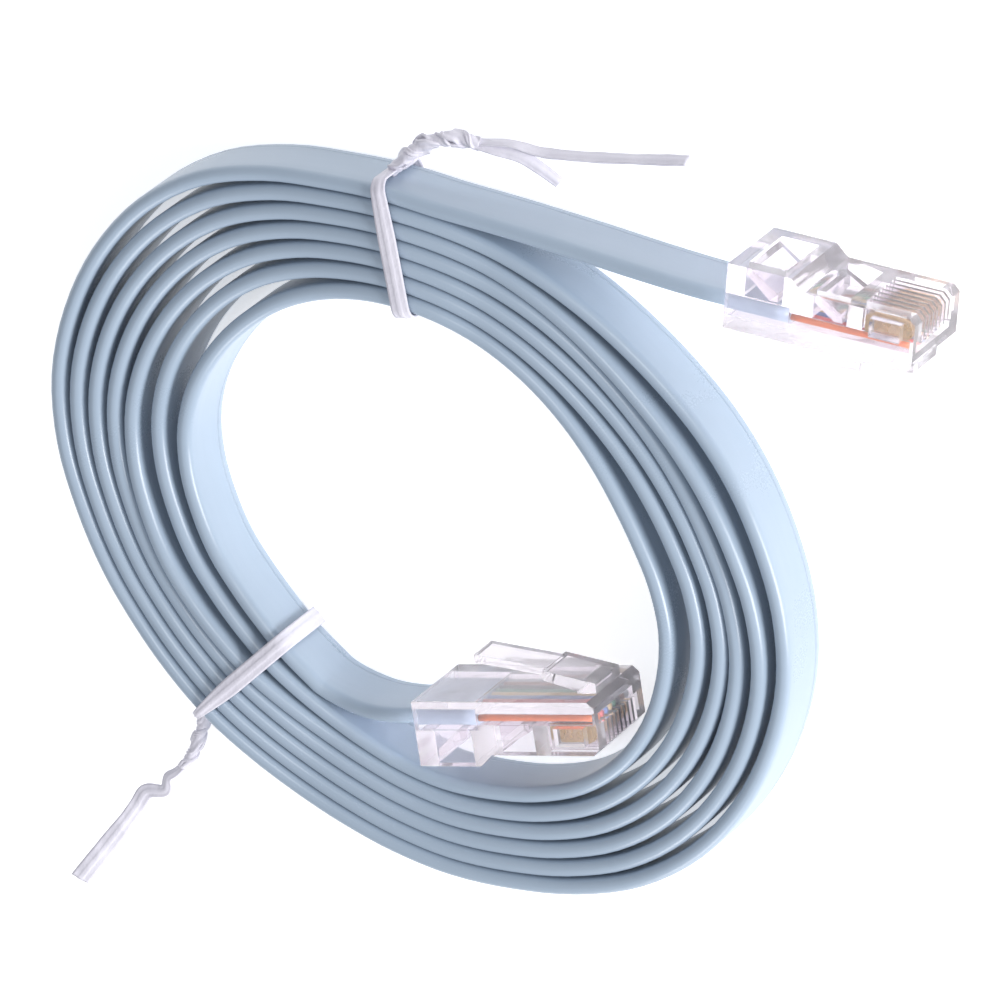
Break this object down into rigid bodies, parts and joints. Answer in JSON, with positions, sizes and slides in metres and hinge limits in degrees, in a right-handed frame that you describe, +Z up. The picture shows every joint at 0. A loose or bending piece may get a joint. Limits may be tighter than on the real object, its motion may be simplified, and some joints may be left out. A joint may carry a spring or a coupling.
{
  "type": "rj45 console cable",
  "caption": "Flat modular console cable wound into an oval coil on its edge, held by two wire ties, with a clear plug on each end.",
  "frame": {"origin": "centre of the whole part's bounding box, on the surface it lies on", "axes": "+Z up, with the coil lying on the edges of its turns; +Y along the longest extent, from the outer plug's end towards the lower tie's tail; +X across the coil"},
  "size_m": [0.0896, 0.129, 0.0117],
  "materials": {
    "jacket": "smooth soft plastic sheath with a low sheen",
    "clear_plastic": "clear moulded polycarbonate",
    "gold": "polished gold plating",
    "tie_paper": "thin white strip with a wire core, a little creased",
    "wire_orange": "insulated core",
    "wire_red": "insulated core",
    "wire_blue": "insulated core",
    "wire_yellow": "insulated core",
    "wire_green": "insulated core",
    "wire_black": "insulated core",
    "wire_brown": "insulated core",
    "wire_white": "insulated core"
  },
  "bodies": {
    "root": {"cable_coil": "jacket", "cable_outer_lead": "jacket", "cable_inner_lead": "jacket", "outer_plug_housing": "clear_plastic", "outer_plug_contact_1": "gold", "outer_plug_contact_2": "gold", "outer_plug_contact_3": "gold", "outer_plug_contact_4": "gold", "outer_plug_contact_5": "gold", "outer_plug_contact_6": "gold", "outer_plug_contact_7": "gold", "outer_plug_contact_8": "gold", "outer_plug_wire_1": "wire_white", "outer_plug_wire_2": "wire_brown", "outer_plug_wire_3": "wire_black", "outer_plug_wire_4": "wire_green", "outer_plug_wire_5": "wire_yellow", "outer_plug_wire_6": "wire_blue", "outer_plug_wire_7": "wire_red", "outer_plug_wire_8": "wire_orange", "inner_plug_housing": "clear_plastic", "inner_plug_contact_1": "gold", "inner_plug_contact_2": "gold", "inner_plug_contact_3": "gold", "inner_plug_contact_4": "gold", "inner_plug_contact_5": "gold", "inner_plug_contact_6": "gold", "inner_plug_contact_7": "gold", "inner_plug_contact_8": "gold", "inner_plug_wire_1": "wire_orange", "inner_plug_wire_2": "wire_red", "inner_plug_wire_3": "wire_blue", "inner_plug_wire_4": "wire_yellow", "inner_plug_wire_5": "wire_green", "inner_plug_wire_6": "wire_black", "inner_plug_wire_7": "wire_brown", "inner_plug_wire_8": "wire_white", "upper_tie": "tie_paper", "lower_tie": "tie_paper"}
  },
  "joints": []
}
